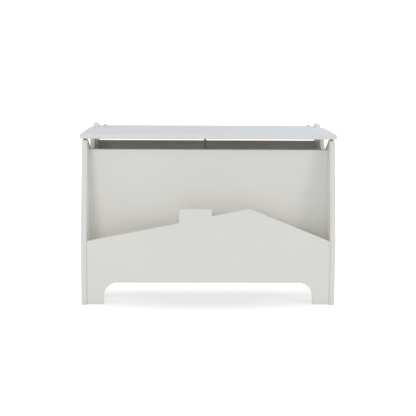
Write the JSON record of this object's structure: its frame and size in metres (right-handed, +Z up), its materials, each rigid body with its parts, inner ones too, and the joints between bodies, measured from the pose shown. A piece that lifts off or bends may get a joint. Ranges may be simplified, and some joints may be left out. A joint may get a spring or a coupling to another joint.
{
  "type": "toy box",
  "caption": "Painted toy chest with a lift-up lid on a gas strut, scooped sides and a house-shaped book pocket in front.",
  "frame": {"origin": "on the floor, under the middle of the closed box's bounding box", "axes": "+Z up, -Y the front with the house fascia, +X to the right seen from the front"},
  "size_m": [0.81, 0.46, 0.5454],
  "materials": {
    "painted_board": "satin off-white lacquer on fibreboard",
    "zinc_steel": "bright zinc plate",
    "cast_zinc": "die-cast zinc",
    "chromed_rod": "polished",
    "grey_tube": "grey lacquer",
    "white_nylon": "moulded",
    "black_rubber": "soft",
    "beech_dowel": "raw beech"
  },
  "bodies": {
    "case": {"side_panel_left": "painted_board", "side_panel_right": "painted_board", "house_fascia": "painted_board", "front_panel": "painted_board", "floor_panel": "painted_board", "back_panel": "painted_board", "hinge_plate_left": "zinc_steel", "hinge_plate_right": "zinc_steel", "hinge_bush_left": "white_nylon", "hinge_bush_right": "white_nylon", "pin_cap_left": "white_nylon", "pin_cap_right": "white_nylon", "hinge_plate_screws": "zinc_steel", "lid_bumpers": "black_rubber", "strut_bracket_lower": "zinc_steel", "strut_screws_lower": "zinc_steel", "pivot_nut_lower": "zinc_steel", "cam_locks": "cast_zinc", "cam_bolts": "zinc_steel", "end_dowels": "beech_dowel", "floor_dowels": "beech_dowel"},
    "lid": {"lid": "painted_board", "lid_bracket_left": "zinc_steel", "lid_bracket_right": "zinc_steel", "hinge_pin_left": "zinc_steel", "hinge_pin_right": "zinc_steel", "lid_bolts": "zinc_steel", "lid_bolt_nuts": "zinc_steel", "lid_bracket_screws": "zinc_steel", "strut_bracket_upper": "zinc_steel", "strut_screws_upper": "zinc_steel", "pivot_bolt_upper": "zinc_steel", "pivot_nut_upper": "zinc_steel"},
    "strut_rod": {"strut_eye_upper": "zinc_steel", "strut_rod": "chromed_rod", "strut_piston": "zinc_steel"},
    "strut_tube": {"strut_tube": "grey_tube", "strut_guide": "zinc_steel", "strut_eye_lower": "zinc_steel", "pivot_bolt_lower": "zinc_steel"}
  },
  "joints": [
    {"name": "lid_hinge", "type": "hinge", "parent": "case", "child": "lid", "pos_m": [0, 0.212, 0.5275], "axis": [-1, 0, 0], "range_deg": [0, 80]},
    {"name": "strut_swing", "type": "hinge", "parent": "lid", "child": "strut_rod", "pos_m": [-0.007, 0.164, 0.505], "axis": [-1, 0, 0], "range_deg": [-74.03, 0]},
    {"name": "strut_slide", "type": "slide", "parent": "strut_rod", "child": "strut_tube", "axis": [0, 0.1774, -0.9841], "range_m": [0, 0.0645]}
  ],
  "couplings": [
    {"joint": "strut_swing", "follows": "lid_hinge", "ratio": -0.91287},
    {"joint": "strut_slide", "follows": "lid_hinge", "m_per_rad": 0.04546}
  ]
}
